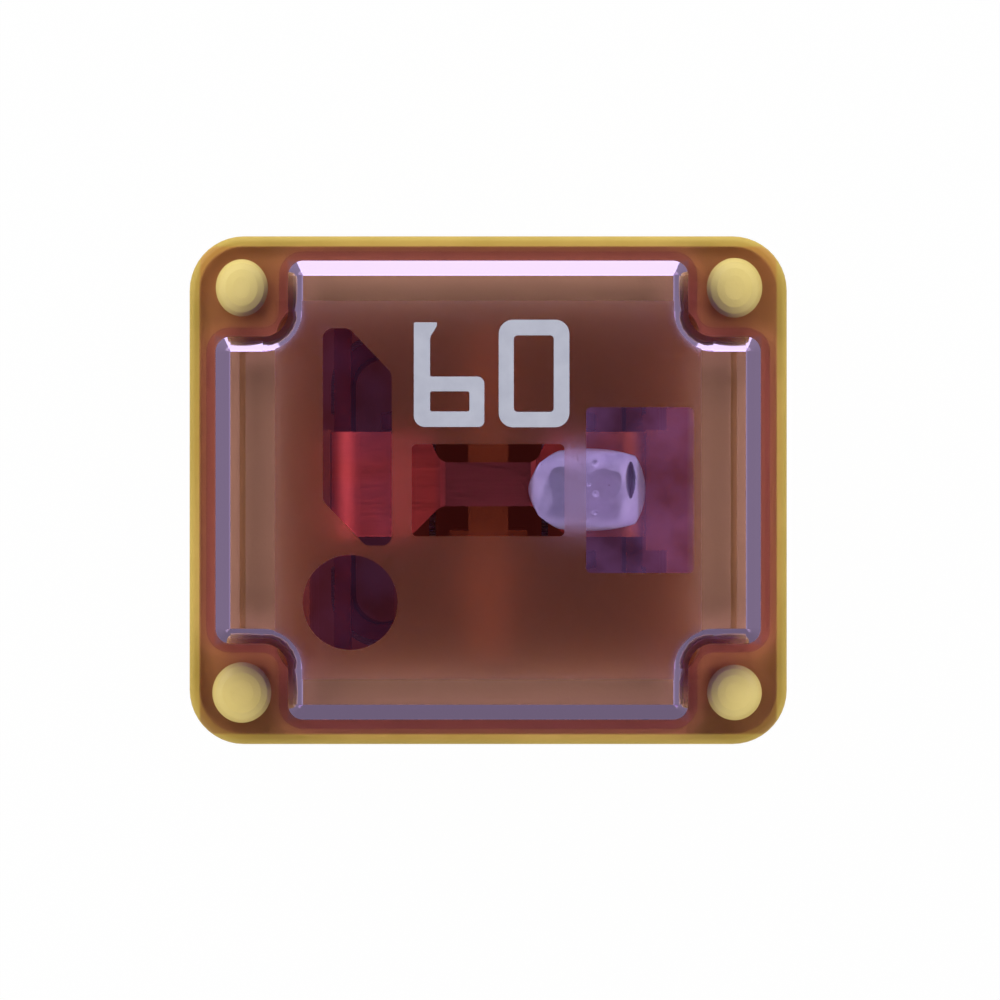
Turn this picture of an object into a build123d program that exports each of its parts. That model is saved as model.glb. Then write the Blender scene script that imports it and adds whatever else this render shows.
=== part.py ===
from build123d import *
import os

# Low profile cartridge fuse: moulded housing, clear cover, one-piece fuse element, tin pad, contact springs.
# Millimetres. +Z is up, away from the blades that the fuse plugs on to. X runs from terminal to terminal,
# and Y along the width of the blades. The origin is at the centre of the foot that the fuse stands on.

# --- Mating blade -------------------------------------------------------------------------------------
blade_thickness = 0.8
blade_width = 6.3
blade_side_play = 0.15      # between the blade's edge and the inside of each curled wing

# --- Heights ------------------------------------------------------------------------------------------
deck_z = 15.3               # flat top of the housing, which the cover lies on
head_height = 4.4           # its underside is where a puller hooks
floor_thickness = 0.9

# --- Fuse element -------------------------------------------------------------------------------------
sheet = 0.4
leg_face_x = 3.75           # outer face of each leg
bend_radius = 0.3           # inside radius of the two right-angle bends
bridge_rise = 0.3           # top of the bridge above the deck
link_width = 2.51           # bridge outside the neck, and the strip down to the shoulders
link_offset = 0.14          # from the middle of the blades to the link's middle line, towards +Y
neck_width = 1.05
neck_length = 2.28
steep_taper = 0.34          # run along X of the tapers on the +Y side of the neck; the others are at 45 degrees
neck_coining = 0.12         # the neck's top is pressed this far below the bridge, with 45 degree ends
link_corner = 0.3           # rounding of the plan where neck, taper and bridge meet
shoulder_bite = 0.25        # how far each shoulder reaches into its groove
shoulder_height = 1.6
strap_height = 1.6          # back of the receptacle left plain, up to the shoulders
receptacle_height = 6.3
receptacle_play = 0.4       # over the floor
wing_radius = 0.7           # inside radius of the curled wings
wing_turn = 270             # degrees that each wing is rolled through, so that its edge bears on the blade
finger_slit = 0.3           # slit that parts each wing into two fingers
mouth_lead = 0.7            # height of the slanted lead-in at the foot of each wing

# --- Contact spring -----------------------------------------------------------------------------------
spring_sheet = 0.15
spring_gap = 0.04           # between the curled wing and the spring round it
spring_height = 3.8
spring_lip = 0.7            # straight end of each arm, behind the leg

# --- Tin pad ------------------------------------------------------------------------------------------
pad_start_x = 0.96
pad_end_x = 3.76
pad_tip_width = 0.86
pad_width = 2.0
pad_height = 0.42
pad_corner = 0.35
pad_edge = 0.3
pad_sag = 0.38              # how far the tin runs down round the bend

# --- Housing ------------------------------------------------------------------------------------------
well_side_play = 0.16       # beside the spring
well_back_play = 0.4        # behind the spring
well_corner = 0.4
partition = 0.96            # wall between the two terminal wells
partition_drop = 0.7        # from the underside of the bridge to the top of the partition
pillar_length = 1.86        # thicker stretch of the partition beside the neck
pillar_width = 1.6
pillar_step = 0.5           # below the top of the partition
pillar_offset = 0.58        # from the neck's edge to the pillar's face, in plan
back_rib_width = 2.9        # upright rib behind each leg, which keeps it from leaning out
back_rib_play = 0.05
groove_play = 0.05          # round the element's shoulders
slot_play = 0.15            # round the blade, each side
slot_lead = 0.45            # depth of the 45 degree lead-in under each slot
end_wall = 1.2              # shank, outside each well
side_wall = 1.6
shank_corner = 0.5
rail_width = 1.5            # guide rails at the corners of the shank
rail_step = 0.3             # from the head's end back to the rail's
foot_chamfer = 0.5
side_groove_width = 3.0     # shallow upright groove in the middle of each long side
side_groove_depth = 0.45
head_length = 14.3
head_ledge = 0.43           # head outside the shank's long sides
head_corner = 1.3
head_edge = 0.15
chamber_end_wall = 2.08     # head, outside the link chamber
chamber_side_wall = 1.58
chamber_depth = 1.6
chamber_corner = 0.9
crease_margin = 0.8         # from the chamber's end to the fine groove across the deck beside it
crease_length = 6.6
crease_width = 0.14
crease_depth = 0.08

# --- Cover --------------------------------------------------------------------------------------------
flange_margin = 0.25        # rim of the deck left showing round the flange
flange_thickness = 0.55
flange_edge = (0.1, 0.09)   # bevel along the flange's upper edge: across, and down
dome_end_step = 0.2         # flange left showing outside the dome, at the ends
dome_side_step = 0.16       # and at the long sides
dome_rise = 1.15
dome_wall = 0.2
ceiling = 0.8
ceiling_bevel = (0.36, 0.33)    # bevel inside, between ceiling and wall
dome_edge = (0.15, 0.13)    # bevel along the dome's upper edge: across, and down
dome_corner = 0.56
notch_length = 1.73         # corner notches that clear the rivets, along X
notch_width = 1.81          # and along Y
notch_corner = 0.4
panel_depth = 0.03          # textured panel, sunk in the polished top
panel_rim = 0.55            # least width of the polished top round it
window_depth = 0.08         # polished windows, sunk in the panel
window_corner = 0.12
link_window = (3.63, 2.19)  # over the neck
end_window = (2.56, 3.94)
end_window_margin = 0.18    # to the end of the panel
round_window_radius = 1.13
round_window_inset = (1.79, 1.83)   # from the panel's -X -Y corner to its centre
slant_window = (1.64, 5.17)
slant_window_inset = (1.14, 0.65)   # from the panel's -X +Y corner
slant_drop = 1.07           # height of its two slanted ends
slant_nib = 0.62            # what the slanted ends leave square
slant_corner = 0.24

# --- Rivet posts --------------------------------------------------------------------------------------
post_end_inset = 1.27       # from the head's end to the post's middle
post_side_inset = 1.25
post_radius = 0.42
post_play = 0.05
rivet_rings = [(0, 0), (0, 0.2), (0.09, 0.32), (0.24, 0.39), (0.42, 0.42)]  # each ring's inset and height
# Each corner's signs along X and Y, and the radii of its flattened head along X and Y.
RIVETS = [(-1, 1, 0.62, 0.68), (1, 1, 0.66, 0.71), (1, -1, 0.65, 0.66), (-1, -1, 0.7, 0.72)]

# --- Worked out from the sizes above ------------------------------------------------------------------
ENDS = (-1, 1)
TINY = 1e-4
leg_inner_x = leg_face_x - sheet
blade_x = leg_inner_x - blade_thickness / 2
wing_x = leg_inner_x - wing_radius
wing_y = blade_width / 2 + blade_side_play - wing_radius
wing_outer = wing_radius + sheet
spring_inner = wing_outer + spring_gap
spring_outer = spring_inner + spring_sheet
well_far_x = leg_face_x + spring_sheet + well_back_play
well_width = 2 * (wing_y + spring_outer + well_side_play)
shoulder_width = well_width + 2 * shoulder_bite
receptacle_z = floor_thickness + receptacle_play
shoulder_z = receptacle_z + receptacle_height + strap_height
bridge_z = deck_z + bridge_rise - sheet
shank_length = 2 * (well_far_x + end_wall)
shank_width = well_width + 2 * side_wall
head_width = shank_width + 2 * head_ledge
head_z = deck_z - head_height
chamber_length = head_length - 2 * chamber_end_wall
chamber_width = head_width - 2 * chamber_side_wall
chamber_z = deck_z - chamber_depth
partition_z = bridge_z - partition_drop
flange_length = head_length - 2 * flange_margin
flange_width = head_width - 2 * flange_margin
flange_z = deck_z + flange_thickness
dome_length = flange_length - 2 * dome_end_step
dome_width = flange_width - 2 * dome_side_step
top_z = flange_z + dome_rise
post_x = head_length / 2 - post_end_inset
post_y = head_width / 2 - post_side_inset


def block(length, width, low_z, high_z, corner=0.0, at=(0, 0)):
    """Upright prism, with rounded upright edges where a corner radius is given."""
    outline = RectangleRounded(length, width, corner) if corner else Rectangle(length, width)
    return Pos(at[0], at[1], low_z) * extrude(outline, amount=high_z - low_z)


def edges_at(solid, z):
    """Edges that lie in the level plane z."""
    return solid.edges().filter_by_position(Axis.Z, z - TINY, z + TINY)


def bevelled(solid, top_z, bevel):
    """A solid with its top edges bevelled, by bevel[0] across its level top and bevel[1] down its sides."""
    return chamfer(edges_at(solid, top_z), *bevel, reference=solid.faces().sort_by(Axis.Z)[-1])


def polygon(points):
    return make_face(Polyline(*points, close=True))


def to_end(piece, end):
    """A piece made for the +X terminal, or its mirror image for the -X one."""
    return piece if end > 0 else mirror(piece, Plane.YZ)


# --- Housing ------------------------------------------------------------------------------------------

def housing_outside():
    """Head on a shank with four guide rails, before anything is cored out."""
    head = block(head_length, head_width, head_z, deck_z, head_corner)
    head = chamfer(edges_at(head, head_z), head_edge)
    head = fillet(edges_at(head, deck_z), head_edge)
    shank_top_z = head_z + 2 * head_edge
    shank = block(shank_length, shank_width, 0, shank_top_z, shank_corner)
    for side in ENDS:
        rail_y = side * (shank_width - rail_width) / 2
        shank += block(head_length - 2 * rail_step, rail_width, 0, shank_top_z, shank_corner, at=(0, rail_y))
    shank = chamfer(edges_at(shank, 0), foot_chamfer)
    for side in ENDS:
        groove_y = side * shank_width / 2
        shank -= block(side_groove_width, 2 * side_groove_depth, 0, head_z, at=(0, groove_y))
    return head + shank


def terminal_well():
    """Space cored out for the +X terminal: well, shoulder grooves, and the blade slot with its lead-in."""
    inner_x = partition / 2
    middle_x = (inner_x + well_far_x) / 2
    well = block(well_far_x - inner_x, well_width, floor_thickness, deck_z, well_corner, (middle_x, 0))
    rib_face_x = leg_face_x + back_rib_play
    well -= block(2 * (well_far_x - rib_face_x), back_rib_width, 0, chamber_z, at=(well_far_x, 0))
    groove = (sheet + 2 * groove_play, shoulder_width + 2 * groove_play)
    well += block(*groove, shoulder_z, deck_z, at=(leg_face_x - sheet / 2, 0))
    slot = (blade_thickness + 2 * slot_play, blade_width + 2 * slot_play)
    well += block(*slot, 0, floor_thickness, at=(blade_x, 0))
    mouth = Rectangle(slot[0] + 2 * slot_lead, slot[1] + 2 * slot_lead)
    return well + Pos(blade_x, 0, 0) * extrude(mouth, amount=slot_lead, taper=45)


def rivet(sign_x, sign_y, radius_x, radius_y):
    """One post with its flattened head, from inside the deck to the top of the head."""
    at = (sign_x * post_x, sign_y * post_y)
    post = Pos(*at, chamber_z) * extrude(Circle(post_radius), amount=flange_z - chamber_z)
    rings = [Ellipse(radius_x - inset, radius_y - inset) for inset, _ in rivet_rings]
    levels = [Pos(*at, flange_z + height) for _, height in rivet_rings]
    return post + loft([level * ring for level, ring in zip(levels, rings)], ruled=True)


def make_housing():
    housing = housing_outside()
    housing -= block(chamber_length, chamber_width, chamber_z, deck_z, chamber_corner)
    for end in ENDS:
        housing -= to_end(terminal_well(), end)
    housing += block(partition, well_width, chamber_z - pillar_step, partition_z)
    pillar_y = link_offset - neck_width / 2 - pillar_offset - pillar_width / 2
    housing += block(pillar_length, pillar_width, floor_thickness, partition_z - pillar_step, at=(0, pillar_y))
    crease_x = chamber_length / 2 + crease_margin
    for end in ENDS:
        housing -= block(crease_width, crease_length, deck_z - crease_depth, deck_z, at=(end * crease_x, 0))
    for corner in RIVETS:
        housing += rivet(*corner)
    return housing


# --- Cover --------------------------------------------------------------------------------------------

def cross_outline(inset):
    """Plan of the dome, moved inwards by inset: a rectangle with its four corners notched.

    Inside, its outer corners stay round enough for the ceiling's bevel to run round them.
    """
    length, width = dome_length - 2 * inset, dome_width - 2 * inset
    outline = Rectangle(length, width)
    for sign_x, sign_y, _, _ in RIVETS:
        corner = Pos(sign_x * length / 2, sign_y * width / 2)
        outline -= corner * Rectangle(2 * notch_length, 2 * notch_width)
    inner = [v for v in outline.vertices() if abs(v.X) < length / 2 - TINY and abs(v.Y) < width / 2 - TINY]
    outline = fillet(inner, notch_corner + inset)
    outer = [v for v in outline.vertices() if notch_mouth(v, length, width)]
    return fillet(outer, max(dome_corner - inset, ceiling_bevel[0] + TINY))


def notch_mouth(vertex, length, width):
    """Whether a vertex of the dome's plan is a corner where a notch meets an end or a side."""
    from_end, from_side = length / 2 - abs(vertex.X), width / 2 - abs(vertex.Y)
    at_end = from_end < TINY and abs(from_side - notch_width) < TINY
    return at_end or (from_side < TINY and abs(from_end - notch_length) < TINY)


def slanted_window():
    """Plan of the long window whose ends both slope down towards its middle line."""
    left = slant_window_inset[0] - chamber_length / 2
    right = left + slant_window[0]
    high = chamber_width / 2 - slant_window_inset[1]
    low = high - slant_window[1]
    plan = polygon([
        (left, high), (left + slant_nib, high), (right, high - slant_drop),
        (right, low), (right - slant_nib, low), (left, low + slant_drop),
    ])
    return fillet(plan.vertices(), slant_corner)


def window_outlines():
    """Plans of the four polished windows in the cover's top."""
    end_window_x = chamber_length / 2 - end_window_margin - end_window[0] / 2
    round_x, round_y = round_window_inset
    return [
        slanted_window(),
        RectangleRounded(*link_window, window_corner),
        Pos(end_window_x, 0) * RectangleRounded(*end_window, window_corner),
        Pos(round_x - chamber_length / 2, round_y - chamber_width / 2) * Circle(round_window_radius),
    ]


def make_cover():
    flange = block(flange_length, flange_width, deck_z, flange_z, head_corner - flange_margin)
    flange = bevelled(flange, flange_z, flange_edge)
    dome = Pos(0, 0, deck_z) * extrude(cross_outline(0), amount=top_z - deck_z)
    dome = bevelled(dome, top_z, dome_edge)
    ceiling_z = top_z - ceiling
    hollow = Pos(0, 0, deck_z) * extrude(cross_outline(dome_wall), amount=ceiling_z - deck_z)
    cover = flange + dome - bevelled(hollow, ceiling_z, ceiling_bevel)
    for sign_x, sign_y, _, _ in RIVETS:
        hole = extrude(Circle(post_radius + post_play), amount=flange_thickness)
        cover -= Pos(sign_x * post_x, sign_y * post_y, deck_z) * hole
    panel = Rectangle(chamber_length, chamber_width) & cross_outline(panel_rim)
    cover -= Pos(0, 0, top_z - panel_depth) * extrude(panel, amount=panel_depth)
    for outline in window_outlines():
        window_z = top_z - panel_depth - window_depth
        cover -= Pos(0, 0, window_z) * extrude(outline & panel, amount=top_z - window_z)
    return cover


# --- Fuse element -------------------------------------------------------------------------------------

def bridge_plan():
    """Plan of the bridge: full link width at both ends, tapering to the neck on each side of it."""
    near, end = neck_length / 2, leg_face_x
    steep, gentle = near + steep_taper, near + (link_width - neck_width) / 2
    high, neck_high = link_offset + link_width / 2, link_offset + neck_width / 2
    low, neck_low = link_offset - link_width / 2, link_offset - neck_width / 2
    plan = polygon([
        (-end, high), (-steep, high), (-near, neck_high), (near, neck_high), (steep, high), (end, high),
        (end, low), (gentle, low), (near, neck_low), (-near, neck_low), (-gentle, low), (-end, low),
    ])
    return fillet([v for v in plan.vertices() if abs(v.X) < leg_face_x - TINY], link_corner)


def arch(face_x, high_z, corner):
    """Side view of an arch of two legs and a bridge, down to the foot of the receptacles."""
    outline = polygon([(-face_x, receptacle_z), (-face_x, high_z), (face_x, high_z), (face_x, receptacle_z)])
    return fillet(outline.vertices().group_by(Axis.Y)[-1], corner)


def bent_sheet():
    """The sheet bent to an arch, still as wide as its shoulders all the way."""
    side_view = arch(leg_face_x, bridge_z + sheet, bend_radius + sheet)
    side_view -= arch(leg_inner_x, bridge_z, bend_radius)
    return extrude(Plane.XZ * side_view, amount=shoulder_width / 2, both=True)


def leg_outline():
    """End view of a leg: narrow strip under the bend, shoulders, then the flat back of the receptacle."""
    shoulder = shoulder_width / 2
    shoulder_top_z = shoulder_z + shoulder_height
    right = [(wing_y, receptacle_z), (wing_y, shoulder_z), (shoulder, shoulder_z), (shoulder, shoulder_top_z)]
    below = polygon(right + [(-y, z) for y, z in reversed(right)])
    return below + Pos(link_offset, (shoulder_z + deck_z) / 2) * Rectangle(link_width, deck_z - shoulder_z)


def wing():
    """Curled wing of the +X receptacle on the +Y side: two fingers with a slanted lead-in at the foot."""
    reach = 3 * wing_outer
    spokes = [Vector(reach, 0).rotate(Axis.Z, (wing_turn - 360) * share) for share in (0, 0.5, 1)]
    roll = Circle(wing_outer) - Circle(wing_radius) - polygon([(0, 0)] + [(s.X, s.Y) for s in spokes])
    piece = Pos(wing_x, wing_y, receptacle_z) * extrude(roll, amount=receptacle_height)
    middle_z = receptacle_z + receptacle_height / 2
    piece -= Pos(wing_x - wing_outer, wing_y, middle_z) * Box(2 * wing_outer, 4 * wing_outer, finger_slit)
    lead_z = receptacle_z + mouth_lead
    lead = polygon([(wing_x, lead_z), (wing_x - wing_outer, receptacle_z), (wing_x, receptacle_z)])
    return piece - Pos(0, wing_y, 0) * extrude(Plane.XZ * lead, amount=2 * wing_outer)


def make_element():
    bridge_zone = Pos(0, 0, chamber_z) * extrude(bridge_plan(), amount=deck_z + bridge_rise - chamber_z)
    leg_zone = extrude(Plane.YZ * leg_outline(), amount=head_length / 2, both=True)
    below = block(head_length, head_width, 0, chamber_z)
    element = (bent_sheet() & bridge_zone) + (bent_sheet() & leg_zone & below)
    flat, high_z = neck_length / 2 - neck_coining, bridge_z + sheet
    press = [(-flat, high_z - neck_coining), (flat, high_z - neck_coining)]
    press += [(flat + neck_coining, high_z), (-flat - neck_coining, high_z)]
    element -= extrude(Plane.XZ * polygon(press), amount=link_width, both=True)
    for end in ENDS:
        element += to_end(wing(), end)
        element += mirror(to_end(wing(), end), Plane.XZ)
    return element


# --- Pieces on the element ----------------------------------------------------------------------------

def make_pad(element):
    """Tin melted on to the +X half of the bridge. Its underside follows the sheet round the bend."""
    slope = (pad_width - pad_tip_width) / 2
    upper = [(pad_start_x, pad_tip_width / 2), (pad_start_x + slope, pad_width / 2), (pad_end_x, pad_width / 2)]
    plan = polygon(upper + [(x, -y) for x, y in reversed(upper)])
    plan = fillet(plan.vertices(), pad_corner)
    low_z, high_z = bridge_z + sheet - pad_sag, bridge_z + sheet + pad_height
    pad = Pos(0, 0, low_z) * extrude(plan, amount=high_z - low_z)
    return fillet(edges_at(pad, high_z), pad_edge) - element


def make_spring():
    """Spring for the +X receptacle: flat across the curled wings, round them, and behind the leg."""
    plan = SlotCenterToCenter(2 * wing_y, 2 * spring_outer) - SlotCenterToCenter(2 * wing_y, 2 * spring_inner)
    plan -= Pos(0, -spring_outer) * Rectangle(2 * (wing_y - spring_lip), 2 * spring_outer)
    middle_z = receptacle_z + receptacle_height / 2
    place = Pos(wing_x - spring_gap, 0, middle_z - spring_height / 2) * Rot(0, 0, 90)
    return place * extrude(plan, amount=spring_height)


def main():
    os.makedirs("parts", exist_ok=True)
    element = make_element()
    pieces = {
        "housing": make_housing(),
        "window_cover": make_cover(),
        "fuse_element": element,
        "tin_pad": make_pad(element),
        "contact_spring_left": to_end(make_spring(), -1),
        "contact_spring_right": make_spring(),
    }
    for name, piece in pieces.items():
        export_step(piece, f"parts/{name}.step")


main()
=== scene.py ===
import math

import bpy
import numpy as np
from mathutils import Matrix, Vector
from mathutils.geometry import tessellate_polygon


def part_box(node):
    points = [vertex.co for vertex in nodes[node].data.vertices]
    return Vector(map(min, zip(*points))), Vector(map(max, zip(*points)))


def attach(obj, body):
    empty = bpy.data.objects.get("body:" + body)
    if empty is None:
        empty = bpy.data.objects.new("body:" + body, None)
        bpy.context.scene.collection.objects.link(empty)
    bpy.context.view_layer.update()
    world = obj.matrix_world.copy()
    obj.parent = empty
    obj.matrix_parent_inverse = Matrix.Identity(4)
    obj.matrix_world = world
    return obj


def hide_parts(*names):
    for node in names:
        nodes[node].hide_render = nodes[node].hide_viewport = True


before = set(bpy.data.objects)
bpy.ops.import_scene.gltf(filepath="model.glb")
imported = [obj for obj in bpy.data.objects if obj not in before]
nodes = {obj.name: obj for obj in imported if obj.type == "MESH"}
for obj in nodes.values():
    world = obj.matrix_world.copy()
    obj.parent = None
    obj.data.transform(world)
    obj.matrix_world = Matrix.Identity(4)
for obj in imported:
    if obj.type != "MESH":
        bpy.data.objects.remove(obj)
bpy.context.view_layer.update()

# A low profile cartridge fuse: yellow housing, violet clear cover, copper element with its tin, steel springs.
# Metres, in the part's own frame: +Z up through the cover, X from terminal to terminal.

MM = 0.001

# --- Heights and places, all from the frame -----------------------------------------------------------

housing_low, housing_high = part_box("housing")
cover_low, cover_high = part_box("window_cover")
element_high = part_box("fuse_element")[1]
tin_low, tin_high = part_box("tin_pad")

TOP_Z = cover_high[2]
DECK_Z = cover_low[2]
PANEL_Z = TOP_Z - 0.03 * MM         # textured panel of the cover
BRIDGE_Z = element_high[2]          # top of the bridge, which carries the tin
TOP_EDGE, FLANGE_EDGE = 0.13 * MM, 0.08 * MM        # depth of the CAD cover's outer bevels
RIM_LENGTH = housing_high[0] - housing_low[0]
CHAMBER_X, CHAMBER_Y = 5.07 * MM, 4.5 * MM
DOME_X, DOME_Y = 6.5 * MM, 5.47 * MM        # inside the cover's dome
NOTCH_X, NOTCH_Y = 1.73 * MM, 1.81 * MM     # its corner notches
FLANGE_X, FLANGE_Y = 6.9 * MM, 5.83 * MM
FLANGE_Z = DECK_Z + 0.55 * MM
HAIR = 0.01 * MM                    # gap that keeps the glass of the cover off what it rests on


# --- Meshes -------------------------------------------------------------------------------------------

def grid_faces(rows, columns, wrap_rows=False, wrap_columns=False):
    """Quads between neighbours of a rows by columns grid of points, turned so that (row x column) is outwards."""
    r = np.arange(rows if wrap_rows else rows - 1)[:, None]
    c = np.arange(columns if wrap_columns else columns - 1)[None, :]
    r_next, c_next = (r + 1) % rows, (c + 1) % columns
    quads = np.stack([r * columns + c, r_next * columns + c, r_next * columns + c_next, r * columns + c_next], -1)
    return quads.reshape(-1, 4)


def make_mesh(name, points, faces, smooth_angle=math.radians(35)):
    """Object with its place in its mesh, shaded smooth where faces meet at less than smooth_angle."""
    mesh = bpy.data.meshes.new(name)
    mesh.from_pydata(np.asarray(points, float).tolist(), [], [list(map(int, face)) for face in faces])
    mesh.validate()
    mesh.shade_smooth()
    mesh.set_sharp_from_angle(angle=smooth_angle)
    piece = bpy.data.objects.new(name, mesh)
    bpy.context.scene.collection.objects.link(piece)
    return piece


def merged_arrays(node):
    """Points, triangles and corner normals of a carried-over node, with its doubled points made one."""
    mesh = node.data
    points = np.empty(3 * len(mesh.vertices))
    mesh.vertices.foreach_get("co", points)
    corners = np.empty(len(mesh.loops), int)
    mesh.loops.foreach_get("vertex_index", corners)
    normals = np.empty(3 * len(mesh.loops))
    mesh.corner_normals.foreach_get("vector", normals)
    points, place = np.unique(np.round(points.reshape(-1, 3), 8), axis=0, return_inverse=True)
    return points, place.reshape(-1)[corners].reshape(-1, 3), normals.reshape(-1, 3)


# --- Shader building ----------------------------------------------------------------------------------

def add(tree, kind, inputs=None, **settings):
    """Adds a node. Each input is a value, or a socket to be linked; inputs are given by name or by number."""
    made = tree.nodes.new(kind)
    for key, value in settings.items():
        setattr(made, key, value)
    for key, value in (inputs or {}).items():
        if isinstance(value, bpy.types.NodeSocket):
            tree.links.new(value, made.inputs[key])
        else:
            made.inputs[key].default_value = value
    return made


def maths(tree, operation, *values):
    return add(tree, "ShaderNodeMath", dict(enumerate(values)), operation=operation).outputs[0]


def remap(tree, value, low, high, to_low, to_high):
    """Value carried from one range to another, and held at the ends."""
    limits = {"Value": value, "From Min": low, "From Max": high, "To Min": to_low, "To Max": to_high}
    return add(tree, "ShaderNodeMapRange", limits).outputs[0]


def blend_colour(tree, share, one, other):
    mixed = add(tree, "ShaderNodeMix", {"Factor": share}, data_type="RGBA")
    for index, colour in ((6, one), (7, other)):
        if isinstance(colour, bpy.types.NodeSocket):
            tree.links.new(colour, mixed.inputs[index])
        else:
            mixed.inputs[index].default_value = colour
    return mixed.outputs[2]


def new_group(name, inputs, outputs):
    """Empty shader node group. Inputs map names to default numbers; outputs map names to socket kinds."""
    group = bpy.data.node_groups.new(name, "ShaderNodeTree")
    for label, default in inputs.items():
        socket = group.interface.new_socket(label, in_out="INPUT", socket_type="NodeSocketFloat")
        socket.default_value = default
    for label, kind in outputs.items():
        group.interface.new_socket(label, in_out="OUTPUT", socket_type=kind)
    return group, add(group, "NodeGroupInput"), add(group, "NodeGroupOutput")


def object_place(tree):
    return add(tree, "ShaderNodeTexCoord").outputs["Object"]


def moulded_grain_group():
    """Surface of a moulding: fine spark-eroded grain for bump, and slow cloudy patches for gloss and colour."""
    group, given, out = new_group(
        "moulded_grain", {"Grain Size": 0.06, "Cloud Size": 1.6},
        {"Grain": "NodeSocketFloat", "Cloud": "NodeSocketFloat", "Speck": "NodeSocketFloat"},
    )
    place = object_place(group)
    per_metre = 1 / MM
    grain_scale = maths(group, "DIVIDE", per_metre, given.outputs["Grain Size"])
    cloud_scale = maths(group, "DIVIDE", per_metre, given.outputs["Cloud Size"])
    grain = add(group, "ShaderNodeTexNoise", {"Vector": place, "Scale": grain_scale, "Detail": 3.0})
    cloud = add(group, "ShaderNodeTexNoise", {"Vector": place, "Scale": cloud_scale, "Detail": 4.0})
    speck = add(group, "ShaderNodeTexVoronoi", {"Vector": place, "Scale": maths(group, "MULTIPLY", cloud_scale, 2.2)})
    near_speck = remap(group, speck.outputs["Distance"], 0.05, 0.09, 1.0, 0.0)
    group.links.new(grain.outputs[0], out.inputs["Grain"])
    group.links.new(cloud.outputs[0], out.inputs["Cloud"])
    group.links.new(near_speck, out.inputs["Speck"])
    return group


def rolled_streaks_group():
    """Surface of rolled strip: streaks along Z on upright faces and along X on the level bridge, plus stains."""
    group, given, out = new_group(
        "rolled_streaks", {"Streak Width": 0.03, "Stretch": 18.0, "Stain Size": 0.8},
        {"Streak": "NodeSocketFloat", "Stain": "NodeSocketFloat"},
    )
    place = object_place(group)
    along = maths(group, "DIVIDE", 1.0, given.outputs["Stretch"])
    squeeze = add(group, "ShaderNodeCombineXYZ", {"X": along, "Y": 1.0, "Z": along}).outputs[0]
    stretched = add(group, "ShaderNodeVectorMath", {0: place, 1: squeeze}, operation="MULTIPLY").outputs[0]
    streak_scale = maths(group, "DIVIDE", 1 / MM, given.outputs["Streak Width"])
    stain_scale = maths(group, "DIVIDE", 1 / MM, given.outputs["Stain Size"])
    streak = add(group, "ShaderNodeTexNoise", {"Vector": stretched, "Scale": streak_scale, "Detail": 2.0})
    stain = add(group, "ShaderNodeTexNoise", {"Vector": place, "Scale": stain_scale, "Detail": 5.0})
    group.links.new(streak.outputs[0], out.inputs["Streak"])
    group.links.new(stain.outputs[0], out.inputs["Stain"])
    return group


MOULDED_GRAIN = moulded_grain_group()
ROLLED_STREAKS = rolled_streaks_group()


def new_material(name, shade):
    """Material with one Principled shader, which shade(tree, shader, output) fills in."""
    material = bpy.data.materials.new(name)
    material.use_nodes = True
    tree = material.node_tree
    tree.nodes.clear()
    shader = add(tree, "ShaderNodeBsdfPrincipled")
    output = add(tree, "ShaderNodeOutputMaterial", {"Surface": shader.outputs[0]})
    shade(tree, shader, output)
    return material


def use_group(tree, group, **values):
    made = add(tree, "ShaderNodeGroup", node_tree=group)
    for label, value in values.items():
        made.inputs[label.replace("_", " ")].default_value = value
    return made.outputs


def bump(tree, shader, height, depth, strength=1.0):
    """Bump of the given depth in metres for a height that runs from 0 to 1."""
    made = add(tree, "ShaderNodeBump", {"Height": height, "Distance": depth, "Strength": strength})
    tree.links.new(made.outputs[0], shader.inputs["Normal"])


# --- Materials ----------------------------------------------------------------------------------------

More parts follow.
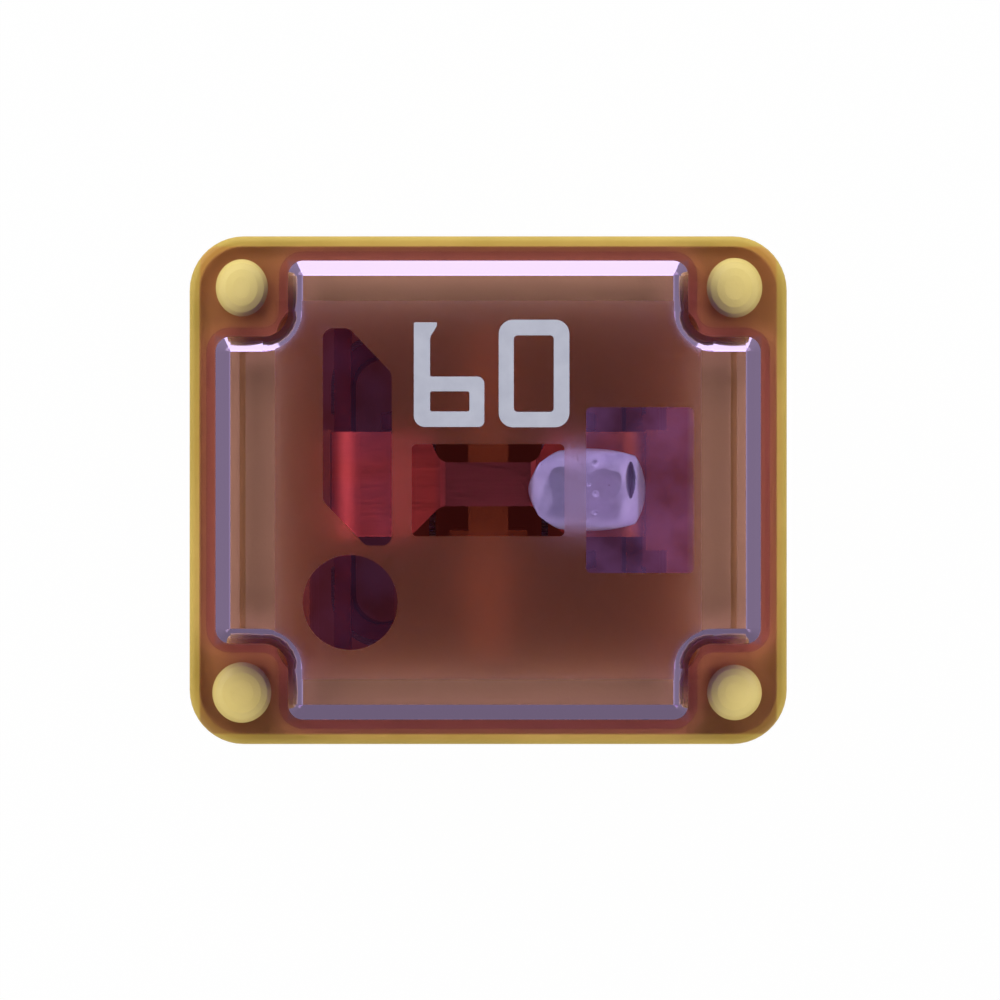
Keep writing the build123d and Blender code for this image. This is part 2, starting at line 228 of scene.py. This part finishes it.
def yellow_nylon(tree, shader, output):
    """Satin yellow moulding with cloudy flow marks and fine grain.

    It is painted deep amber in the closed chamber, as painted shade where light only comes in through the walls. The
    faint emission there is painted light that stands for light that seeps through the walls. The deck is toned by
    place with
    painted shade: more orange where the cover's flange lies on it, greyer inside the dome, and darker on the -Y side.
    The formed rivet heads are paler towards their tops, in cloudy patches.
    """
    grain = use_group(tree, MOULDED_GRAIN, Grain_Size=0.07, Cloud_Size=2.4)
    flow = remap(tree, grain["Cloud"], 0.35, 0.65, 0.0, 1.0)
    body = blend_colour(tree, flow, (0.57, 0.39, 0.068, 1), (0.67, 0.465, 0.095, 1))
    place = add(tree, "ShaderNodeSeparateXYZ", {0: object_place(tree)}).outputs
    beside = maths(tree, "SUBTRACT", maths(tree, "ABSOLUTE", place["X"]), CHAMBER_X)
    ahead = maths(tree, "SUBTRACT", maths(tree, "ABSOLUTE", place["Y"]), CHAMBER_Y)
    over = maths(tree, "SUBTRACT", place["Z"], DECK_Z)
    outside = maths(tree, "MAXIMUM", maths(tree, "MAXIMUM", beside, ahead), over)
    enclosed = remap(tree, outside, -0.3 * MM, 0.05 * MM, 1.0, 0.0)
    past_end = maths(tree, "SUBTRACT", beside, DOME_X - CHAMBER_X)
    past_side = maths(tree, "SUBTRACT", ahead, DOME_Y - CHAMBER_Y)
    in_notch = maths(tree, "MINIMUM", maths(tree, "ADD", past_end, NOTCH_X), maths(tree, "ADD", past_side, NOTCH_Y))
    uncovered = maths(tree, "MAXIMUM", maths(tree, "MAXIMUM", past_end, past_side), in_notch)
    at_deck = remap(tree, maths(tree, "ABSOLUTE", over), 0.03 * MM, 0.13 * MM, 1.0, 0.0)
    # Painted shade: the deck inside the dome is painted greyer.
    dome_painted_shade = maths(tree, "MULTIPLY", remap(tree, uncovered, -0.05 * MM, 0.05 * MM, 0.7, 0.0), at_deck)
    past_flange = maths(tree, "MAXIMUM", maths(tree, "SUBTRACT", past_end, FLANGE_X - DOME_X),
                        maths(tree, "SUBTRACT", past_side, FLANGE_Y - DOME_Y))
    # Painted shade: the deck under the cover's flange is painted more orange.
    flange_painted_shade = maths(tree, "MULTIPLY", remap(tree, past_flange, -0.03 * MM, 0.03 * MM, 1.0, 0.0), at_deck)
    body = blend_colour(tree, flange_painted_shade, body, (0.6, 0.31, 0.064, 1))
    body = blend_colour(tree, dome_painted_shade, body, (0.43, 0.34, 0.14, 1))
    painted_shade_under_cover = maths(tree, "MAXIMUM", flange_painted_shade, dome_painted_shade)
    # Painted shade: under the cover the deck is painted darker towards the -Y side.
    near_side = maths(tree, "MULTIPLY", painted_shade_under_cover, remap(tree, place["Y"], -5.2 * MM, -4.2 * MM, 0.4, 0.0))
    body = blend_colour(tree, near_side, body, (0.1, 0.055, 0.02, 1))
    # Painted shade: deep amber in the closed chamber, where light only comes in through the walls.
    body = blend_colour(tree, enclosed, body, (0.2, 0.044, 0.001, 1))
    end_wards = remap(tree, maths(tree, "ABSOLUTE", place["X"]), 1.1 * MM, 2.2 * MM, 0.55, 1.0)
    seeping = maths(tree, "MULTIPLY", enclosed, end_wards)
    glow = blend_colour(tree, seeping, (0, 0, 0, 1), (0.045, 0.0065, 0.004, 1))
    tree.links.new(glow, shader.inputs["Emission Color"])
    shader.inputs["Emission Strength"].default_value = 1.0
    # The rivet heads are paler towards their tops, in cloudy patches.
    head = remap(tree, place["Z"], FLANGE_Z, TOP_Z - 0.8 * MM, 0.0, 1.0)
    paler_head_top = maths(tree, "MULTIPLY", head, remap(tree, grain["Cloud"], 0.3, 0.7, 0.6, 1.0))
    body = blend_colour(tree, paler_head_top, body, (0.89, 0.71, 0.26, 1))
    tree.links.new(body, shader.inputs["Base Color"])
    tree.links.new(remap(tree, grain["Cloud"], 0.3, 0.7, 0.42, 0.56), shader.inputs["Roughness"])
    shader.inputs["IOR"].default_value = 1.53
    shader.inputs["Specular IOR Level"].default_value = 0.3
    bump(tree, shader, grain["Grain"], 0.004 * MM)


def violet_clear(tree, shader, output):
    """Clear violet-tinted cover: polished all over, apart from the finely textured panel on its top.

    Two emissions stand for light that the clear material does not give by itself: a faint warm haze on the panel, and
    a cloudy violet shine on the floors of the windows near the ends. The low Specular Tint keeps a veil of reflected
    surroundings off the panel.
    """
    place = add(tree, "ShaderNodeSeparateXYZ", {0: object_place(tree)})
    facing = add(tree, "ShaderNodeSeparateXYZ", {0: add(tree, "ShaderNodeNewGeometry").outputs["Normal"]})
    over_windows = maths(tree, "GREATER_THAN", place.outputs["Z"], PANEL_Z - 0.02 * MM)
    under_rim = maths(tree, "LESS_THAN", place.outputs["Z"], PANEL_Z + 0.02 * MM)
    level = maths(tree, "GREATER_THAN", facing.outputs["Z"], 0.98)
    panel = maths(tree, "MULTIPLY", maths(tree, "MULTIPLY", over_windows, under_rim), level)
    pits = use_group(tree, MOULDED_GRAIN, Grain_Size=0.012, Cloud_Size=1.2)
    matte = remap(tree, pits["Grain"], 0.5, 0.56, 0.5, 0.85)
    rough = add(tree, "ShaderNodeMix", {"Factor": panel, 2: 0.02, 3: matte}, data_type="FLOAT").outputs[0]
    tree.links.new(rough, shader.inputs["Roughness"])
    haze = blend_colour(tree, panel, (0, 0, 0, 1), (0.038, 0.011, 0.004, 1))
    over_ceiling = maths(tree, "GREATER_THAN", place.outputs["Z"], PANEL_Z - 0.2 * MM)
    under_panel = maths(tree, "SUBTRACT", 1.0, over_windows)
    in_window = maths(tree, "MULTIPLY", maths(tree, "MULTIPLY", over_ceiling, under_panel), level)
    cloudy = maths(tree, "MULTIPLY", in_window, remap(tree, pits["Cloud"], 0.35, 0.65, 0.5, 1.4))
    at_right = remap(tree, place.outputs["X"], 2.0 * MM, 2.1 * MM, 0.0, 0.058)
    at_left = remap(tree, place.outputs["X"], -2.1 * MM, -2.0 * MM, 0.013, 0.0)
    shine = maths(tree, "MULTIPLY", cloudy, maths(tree, "MAXIMUM", at_right, at_left))
    haze = blend_colour(tree, shine, haze, (0.9, 0.4, 1.2, 1))
    tree.links.new(haze, shader.inputs["Emission Color"])
    shader.inputs["Emission Strength"].default_value = 1.0
    shader.inputs["Base Color"].default_value = (1, 1, 1, 1)
    shader.inputs["Transmission Weight"].default_value = 1.0
    shader.inputs["IOR"].default_value = 1.56
    shader.inputs["Specular Tint"].default_value = (0.25, 0.25, 0.25, 1)
    absorb = add(tree, "ShaderNodeVolumeAbsorption", {"Color": (0.78, 0.54, 0.93, 1), "Density": 1000.0})
    tree.links.new(absorb.outputs[0], output.inputs["Volume"])


def copper_sheet(tree, shader, output):
    """Rolled copper alloy strip: reddish, streaked and patchy, dull at the coined neck, browned by flux at the tin."""
    roll = use_group(tree, ROLLED_STREAKS, Streak_Width=0.04, Stretch=20.0, Stain_Size=1.1)
    stained = remap(tree, roll["Stain"], 0.42, 0.66, 0.0, 1.0)
    tint = blend_colour(tree, stained, (0.56, 0.085, 0.052, 1), (0.46, 0.07, 0.048, 1))
    place = add(tree, "ShaderNodeSeparateXYZ", {0: object_place(tree)}).outputs
    coined = remap(tree, maths(tree, "ABSOLUTE", place["X"]), 1.0 * MM, 1.3 * MM, 1.0, 0.0)
    tint = blend_colour(tree, coined, tint, (0.3, 0.07, 0.055, 1))
    near_tin = remap(tree, place["X"], 1.6 * MM, 2.3 * MM, 0.0, 1.0)
    fluxed = maths(tree, "MULTIPLY", near_tin, remap(tree, roll["Stain"], 0.3, 0.6, 0.7, 1.0))
    tint = blend_colour(tree, fluxed, tint, (0.3, 0.075, 0.02, 1))
    tree.links.new(tint, shader.inputs["Base Color"])
    tree.links.new(remap(tree, roll["Streak"], 0.3, 0.7, 0.46, 0.58), shader.inputs["Roughness"])
    shader.inputs["Metallic"].default_value = 1.0
    bump(tree, shader, roll["Streak"], 0.0015 * MM)


def melted_tin(tree, shader, output):
    """Tin that has melted and set: soft bright lumps, with dull grains and small dark specks."""
    grain = use_group(tree, MOULDED_GRAIN, Grain_Size=0.16, Cloud_Size=0.5)
    dull = remap(tree, grain["Cloud"], 0.4, 0.7, 0.0, 1.0)
    body = blend_colour(tree, dull, (0.47, 0.51, 0.58, 1), (0.39, 0.42, 0.5, 1))
    # Small dark specks.
    dark_specks = maths(tree, "MULTIPLY", grain["Speck"], 0.8)
    tree.links.new(blend_colour(tree, dark_specks, body, (0.12, 0.11, 0.13, 1)), shader.inputs["Base Color"])
    tree.links.new(remap(tree, grain["Cloud"], 0.35, 0.7, 0.5, 0.66), shader.inputs["Roughness"])
    shader.inputs["Metallic"].default_value = 1.0
    bump(tree, shader, grain["Grain"], 0.008 * MM)


def spring_strip(tree, shader, output):
    """Cold rolled stainless strip with fine streaks and a slight straw tint in patches."""
    roll = use_group(tree, ROLLED_STREAKS, Streak_Width=0.025, Stretch=30.0, Stain_Size=1.6)
    warm = remap(tree, roll["Stain"], 0.45, 0.7, 0.0, 1.0)
    tint = blend_colour(tree, warm, (0.58, 0.58, 0.6, 1), (0.55, 0.51, 0.45, 1))
    tree.links.new(tint, shader.inputs["Base Color"])
    tree.links.new(remap(tree, roll["Streak"], 0.3, 0.7, 0.2, 0.36), shader.inputs["Roughness"])
    shader.inputs["Metallic"].default_value = 1.0
    bump(tree, shader, roll["Streak"], 0.002 * MM)


def white_ink(tree, shader, output):
    """Pad-printed white, a little thin in places."""
    grain = use_group(tree, MOULDED_GRAIN, Grain_Size=0.05, Cloud_Size=0.35)
    thin = remap(tree, grain["Cloud"], 0.35, 0.7, 0.0, 1.0)
    body = blend_colour(tree, thin, (0.51, 0.52, 0.62, 1), (0.46, 0.47, 0.57, 1))
    tree.links.new(body, shader.inputs["Base Color"])
    shader.inputs["Roughness"].default_value = 0.6
    bump(tree, shader, grain["Grain"], 0.002 * MM)


HOUSING_FINISH = new_material("yellow_nylon", yellow_nylon)
COVER_FINISH = new_material("violet_clear", violet_clear)
COPPER_FINISH = new_material("copper_sheet", copper_sheet)
TIN_FINISH = new_material("melted_tin", melted_tin)
SPRING_FINISH = new_material("spring_strip", spring_strip)
INK_FINISH = new_material("white_ink", white_ink)
for finish in (HOUSING_FINISH, COVER_FINISH):
    finish.cycles.emission_sampling = "NONE"


def sharp_edge(points, faces, normals, high, down):
    """The cover's shell with the bevel under the level high drawn in to a fine moulded edge.

    Each point of the bevel's upper ring is made one with the nearest point of its lower ring in plan, the lower
    ring goes up to the level, and faces left without width are dropped.
    """
    ring = np.flatnonzero(np.abs(points[:, 2] - (high - down)) < HAIR / 2)
    top = np.flatnonzero(np.abs(points[:, 2] - high) < HAIR / 10)
    reach = np.linalg.norm(points[top, None, :2] - points[None, ring, :2], axis=2)
    close = reach.min(1) < 1.6 * down
    joined = np.arange(len(points))
    joined[top[close]] = ring[reach.argmin(1)][close]
    points = points.copy()
    points[ring, 2] = high
    faces = joined[faces]
    kept = (faces[:, 0] != faces[:, 1]) & (faces[:, 1] != faces[:, 2]) & (faces[:, 2] != faces[:, 0])
    faces, normals = faces[kept], normals.reshape(-1, 3, 3)[kept]
    folded, times = np.unique(np.sort(faces, axis=1), axis=0, return_inverse=True, return_counts=True)[1:]
    single = times[folded.reshape(-1)] == 1
    faces, normals = faces[single], normals[single]
    level = (np.abs(points[faces][:, :, 2] - high) < HAIR / 10).all(1)
    normals[level] = (0, 0, 1)
    return points, faces, normals.reshape(-1, 3)


UPPER_ROUNDING = (0.05, 0.09)       # of the inner bevel's upper side: on the +Y side, and elsewhere
LOWER_ROUNDING = 0.03


def rounded_normals(points, faces, normals):
    """Corner normals of the cover, turned on the bevel inside it so that the light runs over it as over a curve.

    The bevel is level with none of the cover's walls and looks down. Its corner normals lean by a fixed share
    towards the ceiling's at its upper side, and towards the wall's at its lower side.
    """
    height = points[faces.reshape(-1), 2]
    low, high = TOP_Z - 1.13 * MM, TOP_Z - 0.8 * MM
    looks_down = (normals[:, 2] < -0.5) & (normals[:, 2] > -0.9)
    inside = looks_down & (height > low - HAIR) & (height < high + HAIR)
    upper = inside & (height > (low + high) / 2)
    lower = inside & ~upper
    turned = normals.copy()
    turned[upper, 2] -= np.where(normals[upper, 1] > 0.5, *UPPER_ROUNDING)
    level = normals[lower] * np.array([1, 1, 0.0])
    turned[lower] += LOWER_ROUNDING * level / np.linalg.norm(level, axis=1)[:, None]
    return turned / np.linalg.norm(turned, axis=1)[:, None]


def make_cover():
    """The cover, with its underside and its flange's top drawn in by a hair so that the glass touches nothing."""
    points, faces, normals = merged_arrays(nodes["window_cover"])
    points[np.abs(points[:, 2] - DECK_Z) < HAIR / 10, 2] += HAIR
    points[np.abs(points[:, 2] - FLANGE_Z) < HAIR / 10, 2] -= HAIR
    points, faces, normals = sharp_edge(points, faces, normals, TOP_Z, TOP_EDGE)
    points, faces, normals = sharp_edge(points, faces, normals, FLANGE_Z - HAIR, FLANGE_EDGE)
    cover = make_mesh("clear_cover", points, faces)
    cover.data.normals_split_custom_set(rounded_normals(points, faces, normals).tolist())
    cover.data.materials.append(COVER_FINISH)
    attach(cover, "root")
    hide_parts("window_cover")


def finish_node(name, material):
    """Gives a carried-over node its finish, in every slot that it has."""
    for slot in nodes[name].material_slots:
        slot.material = material


finish_node("housing", HOUSING_FINISH)
finish_node("fuse_element", COPPER_FINISH)
finish_node("contact_spring_left", SPRING_FINISH)
finish_node("contact_spring_right", SPRING_FINISH)
make_cover()


# --- Printed rating -----------------------------------------------------------------------------------

INK_THICKNESS = 0.02 * MM


def rounded_loop(corners, radii):
    """Closed outline through corners, each swept round by a quarter turn in eased steps.

    Around a corner the point is corner + before * (1 - sin a) + after * (1 - cos a), for a from 0 to 90 degrees.
    """
    corners = np.asarray(corners, float)
    radii = np.broadcast_to(np.asarray(radii, float), len(corners))[:, None]
    before, after = np.roll(corners, 1, 0) - corners, np.roll(corners, -1, 0) - corners
    before *= radii / np.linalg.norm(before, axis=1)[:, None]
    after *= radii / np.linalg.norm(after, axis=1)[:, None]
    angle = np.linspace(0, math.pi / 2, 9)[None, :, None]
    arcs = corners[:, None] + before[:, None] * (1 - np.sin(angle)) + after[:, None] * (1 - np.cos(angle))
    return arcs.reshape(-1, 2) * MM


def box_loop(left, right, low, high, radius):
    return rounded_loop([(left, high), (right, high), (right, low), (left, low)], radius)


def print_figure(name, outline, opening):
    """A printed figure: the plan between two loops, raised from just under the panel to the ink's thickness."""
    low, high = PANEL_Z - HAIR, PANEL_Z + INK_THICKNESS
    loops = (outline, opening)
    plan = [[(x, y, 0.0) for x, y in loop] for loop in loops]
    top = np.array(tessellate_polygon(plan))
    flat = np.vstack(loops)
    a, b, c = (flat[top[:, i]] for i in range(3))
    turned = (b[:, 0] - a[:, 0]) * (c[:, 1] - a[:, 1]) - (b[:, 1] - a[:, 1]) * (c[:, 0] - a[:, 0]) < 0
    top[turned] = top[turned][:, ::-1]
    count = len(flat)
    points = np.vstack([np.column_stack([flat, np.full(count, z)]) for z in (high, low)])
    faces = top.tolist() + (top[:, ::-1] + count).tolist()
    start = 0
    for loop in loops:
        here = np.arange(len(loop)) + start
        ahead = np.roll(here, -1)
        faces += np.stack([here, ahead, ahead + count, here + count], 1).tolist()
        start += len(loop)
    figure = make_mesh(name, points, faces)
    figure.data.materials.append(INK_FINISH)
    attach(figure, "root")


SIX_CORNERS = [
    (-1.766, 3.99), (-1.22, 3.99), (-1.22, 3.9), (-1.38, 3.64),
    (-1.38, 2.7), (-0.09, 2.7), (-0.09, 1.503), (-1.766, 1.503),
]
SIX_RADII = [0.04, 0.02, 0.03, 0.06, 0.03, 0.17, 0.14, 0.26]
print_figure("print_six", rounded_loop(SIX_CORNERS, SIX_RADII), box_loop(-1.38, -0.444, 1.87, 2.35, 0.05)[::-1])
print_figure("print_zero", box_loop(0.252, 1.932, 1.495, 4.052, 0.34), box_loop(0.61, 1.56, 1.86, 3.68, 0.09)[::-1])


# --- Tin ----------------------------------------------------------------------------------------------

TIN_GRID = 121
TIN_X, TIN_Y = (0.96, 3.76), (-0.98, 1.0)       # plan of the tin, in millimetres
TIN_PORES = [                                   # x, y, radius and depth, in millimetres
    (2.4, 0.14, 0.045, 0.05), (2.56, -0.08, 0.05, 0.06), (2.54, -0.54, 0.045, 0.05), (2.56, 0.65, 0.05, 0.05),
]


def tin_height(x, y):
    """Height of the set tin over the bridge, for places in millimetres from the middle of the part.

    It is the crown, (1 - |along|^5)^0.5 * (1 - |across|^4)^0.6 with both shares running from -1 to 1 over the plan,
    times 0.4 plus slow waves and two low round swellings. A lip is added beyond the open lens of the fold at the
    terminal's end, and that lens and small round pores are taken away.
    """
    along = (x - (TIN_X[0] + TIN_X[1]) / 2) / ((TIN_X[1] - TIN_X[0]) / 2)
    across = (y - (TIN_Y[0] + TIN_Y[1]) / 2) / ((TIN_Y[1] - TIN_Y[0]) / 2)
    crown = (1 - np.clip(np.abs(along), 0, 1) ** 5) ** 0.5 * (1 - np.clip(np.abs(across), 0, 1) ** 4) ** 0.6
    waves = 0.014 * np.sin(5.1 * x + 1.3 * y) + 0.012 * np.sin(3.2 * y - 2.4 * x + 0.7)
    waves += 0.006 * np.sin(11.3 * x - 7.9 * y)
    waves += 0.09 * np.exp(-((x - 1.85) ** 2 + (y - 0.3) ** 2) / 0.2)
    waves += 0.07 * np.exp(-((x - 3.05) ** 2 + (y - 0.15) ** 2) / 0.12)
    pores = sum(depth * np.exp(-((x - px) ** 2 + (y - py) ** 2) / size ** 2) for px, py, size, depth in TIN_PORES)
    lens_x, lens_y, lens_length = 3.4, 0.24, 0.43
    bow = 0.1 * (1 - np.clip(np.abs(y - lens_y) / lens_length, 0, 1) ** 2)
    lens = 0.34 * np.clip(1 - ((x - lens_x) / (bow + 0.015)) ** 2, 0, 1) * (np.abs(y - lens_y) < lens_length)
    lip = 0.06 * np.exp(-((x - lens_x - 0.19) / 0.09) ** 2)
    return crown * (0.40 + waves) + crown * lip - lens - pores


def make_tin():
    """Closed shell over a rounded plan: a square grid pulled to a squircle, with a top sheet and a flat base.

    A grid point (s, t) goes to x = s * sqrt(1 - 0.32 t^2) and y = t * sqrt(1 - 0.32 s^2), stretched to the plan,
    and y is drawn in towards the tip over the neck, by up to 0.42 of its size at the tip.
    """
    s, t = np.meshgrid(np.linspace(-1, 1, TIN_GRID), np.linspace(-1, 1, TIN_GRID), indexing="ij")
    round_s, round_t = s * np.sqrt(1 - 0.32 * t ** 2), t * np.sqrt(1 - 0.32 * s ** 2)
    x = (TIN_X[0] + TIN_X[1]) / 2 + round_s * (TIN_X[1] - TIN_X[0]) / 2
    tip = 1 - 0.42 * np.clip(1 - (x - TIN_X[0]) / 0.75, 0, 1) ** 1.5
    y = (TIN_Y[0] + TIN_Y[1]) / 2 + round_t * tip * (TIN_Y[1] - TIN_Y[0]) / 2
    bend_start, bend_radius = 3.05, 0.7
    past = np.clip(x - bend_start, 0, bend_radius)
    sheet_z = BRIDGE_Z / MM - bend_radius + np.sqrt(bend_radius ** 2 - past ** 2)
    edge = np.maximum(np.abs(s), np.abs(t)) == 1
    base_z = np.maximum(sheet_z - 0.02, tin_low[2] / MM)
    bed_z = np.maximum(base_z, BRIDGE_Z / MM - 0.35 * (past / bend_radius) ** 2)
    top_z = np.where(edge, base_z, bed_z + tin_height(x, y))
    top_z = np.clip(top_z, base_z, tin_high[2] / MM)
    top = np.stack([x, y, top_z], -1).reshape(-1, 3)
    base = np.stack([x, y, base_z - 0.05], -1).reshape(-1, 3)
    sheet = grid_faces(TIN_GRID, TIN_GRID)
    count = TIN_GRID ** 2
    ring = np.concatenate([
        np.arange(TIN_GRID) * TIN_GRID, (TIN_GRID - 1) * TIN_GRID + np.arange(1, TIN_GRID),
        np.arange(TIN_GRID - 2, -1, -1) * TIN_GRID + TIN_GRID - 1, np.arange(TIN_GRID - 2, 0, -1),
    ])
    ahead = np.roll(ring, -1)
    wall = np.stack([ring, ahead, ahead + count, ring + count], 1)[:, ::-1]
    faces = np.vstack([sheet, sheet[:, ::-1] + count, wall])
    tin = make_mesh("melted_tin", np.vstack([top, base]) * MM, faces, math.radians(60))
    tin.data.materials.append(TIN_FINISH)
    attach(tin, "root")
    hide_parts("tin_pad")


make_tin()


# --- Floor, light and camera --------------------------------------------------------------------------

def floor_white(tree, shader, output):
    """Pale floor: white to the eye and in reflections, with a share of real shading so that shadows stay."""
    tree.nodes.remove(shader)
    path = add(tree, "ShaderNodeLightPath").outputs
    shown = maths(tree, "MAXIMUM", path["Is Camera Ray"], path["Is Glossy Ray"])
    shown = maths(tree, "MAXIMUM", shown, path["Is Transmission Ray"])
    matt = add(tree, "ShaderNodeBsdfDiffuse", {"Color": (0.86, 0.86, 0.86, 1)})
    glow = add(tree, "ShaderNodeEmission", {"Color": (1, 1, 1, 1), "Strength": 1.0})
    place = add(tree, "ShaderNodeSeparateXYZ", {0: object_place(tree)}).outputs
    beside = maths(tree, "SUBTRACT", maths(tree, "ABSOLUTE", place["X"]), housing_high[0])
    ahead = maths(tree, "SUBTRACT", maths(tree, "ABSOLUTE", place["Y"]), housing_high[1])
    clear_of = remap(tree, maths(tree, "MAXIMUM", beside, ahead), -0.9 * MM, 0.0, 0.0, 1.0)
    share = maths(tree, "MULTIPLY", maths(tree, "MULTIPLY", shown, clear_of), 0.985)
    mixed = add(tree, "ShaderNodeMixShader", {"Fac": share, 1: matt.outputs[0], 2: glow.outputs[0]})
    tree.links.new(mixed.outputs[0], output.inputs["Surface"])


def make_floor(half=3.0):
    """Level square under the object."""
    corners = [(-half, -half, 0), (half, -half, 0), (half, half, 0), (-half, half, 0)]
    floor = make_mesh("floor", corners, [(0, 1, 2, 3)])
    floor.data.materials.append(new_material("floor_white", floor_white))


def softbox(name, azimuth, elevation, distance, width, height, radiance):
    """Rectangular lamp that faces the object from a compass direction (0 is +Y, 90 is +X) and an elevation."""
    lamp = bpy.data.lights.new(name, "AREA")
    lamp.shape = "RECTANGLE"
    lamp.size, lamp.size_y = width, height
    lamp.energy = radiance * 4 * width * height
    holder = bpy.data.objects.new(name, lamp)
    bpy.context.scene.collection.objects.link(holder)
    a, e = math.radians(azimuth), math.radians(elevation)
    out = Vector((math.sin(a) * math.cos(e), math.cos(a) * math.cos(e), math.sin(e)))
    holder.location = out * distance + Vector((0, 0, DECK_Z))
    holder.rotation_mode = "QUATERNION"
    holder.rotation_quaternion = out.to_track_quat("Z", "Y")
    return holder


softbox("light_north", 0, 14, 0.6, 0.6, 0.28, 0.9).data.color = (0.86, 0.97, 1.0)
softbox("light_north_west", -50, 42, 0.7, 0.5, 0.3, 1.2)


def make_world():
    """Studio surround: a broad pale ring half way up, brighter to the north, dim at the horizon and dark overhead."""
    world = bpy.data.worlds.new("studio")
    bpy.context.scene.world = world
    world.use_nodes = True
    tree = world.node_tree
    tree.nodes.clear()
    direction = add(tree, "ShaderNodeSeparateXYZ", {0: add(tree, "ShaderNodeTexCoord").outputs["Generated"]}).outputs
    up = direction["Z"]
    rise = remap(tree, up, 0.26, 0.5, 0.26, 1.9)
    fall = remap(tree, up, 0.62, 0.84, 1.0, 0.006)
    side = remap(tree, direction["Y"], -0.8, 0.8, 0.8, 1.25)
    level = maths(tree, "MULTIPLY", maths(tree, "MULTIPLY", rise, fall), side)
    back = add(tree, "ShaderNodeBackground", {"Color": (1, 1, 1, 1), "Strength": level})
    add(tree, "ShaderNodeOutputWorld", {"Surface": back.outputs[0]})


def make_camera():
    """Straight above, a quarter of a metre over the deck, with the fuse a little left of and above the middle."""
    camera = bpy.data.cameras.new("camera")
    holder = bpy.data.objects.new("camera", camera)
    bpy.context.scene.collection.objects.link(holder)
    distance = 0.25
    rim_share = 0.5975                  # of the picture's width, taken by the housing's rim
    field = RIM_LENGTH / rim_share
    camera.sensor_width = 36
    camera.lens = camera.sensor_width * distance / field
    camera.clip_start, camera.clip_end = 0.01, 10
    holder.location = (0.0118 * field, -0.0098 * field, DECK_Z + distance)
    bpy.context.scene.camera = holder


make_floor()
make_world()
make_camera()
scene = bpy.context.scene
scene.view_settings.view_transform = "Standard"
scene.cycles.blur_glossy = 0.0      # light that has come through the cover stays as sharp as it is
scene.cycles.max_bounces = 16
scene.cycles.transmission_bounces = 16
scene.cycles.glossy_bounces = 8
scene.cycles.diffuse_bounces = 6
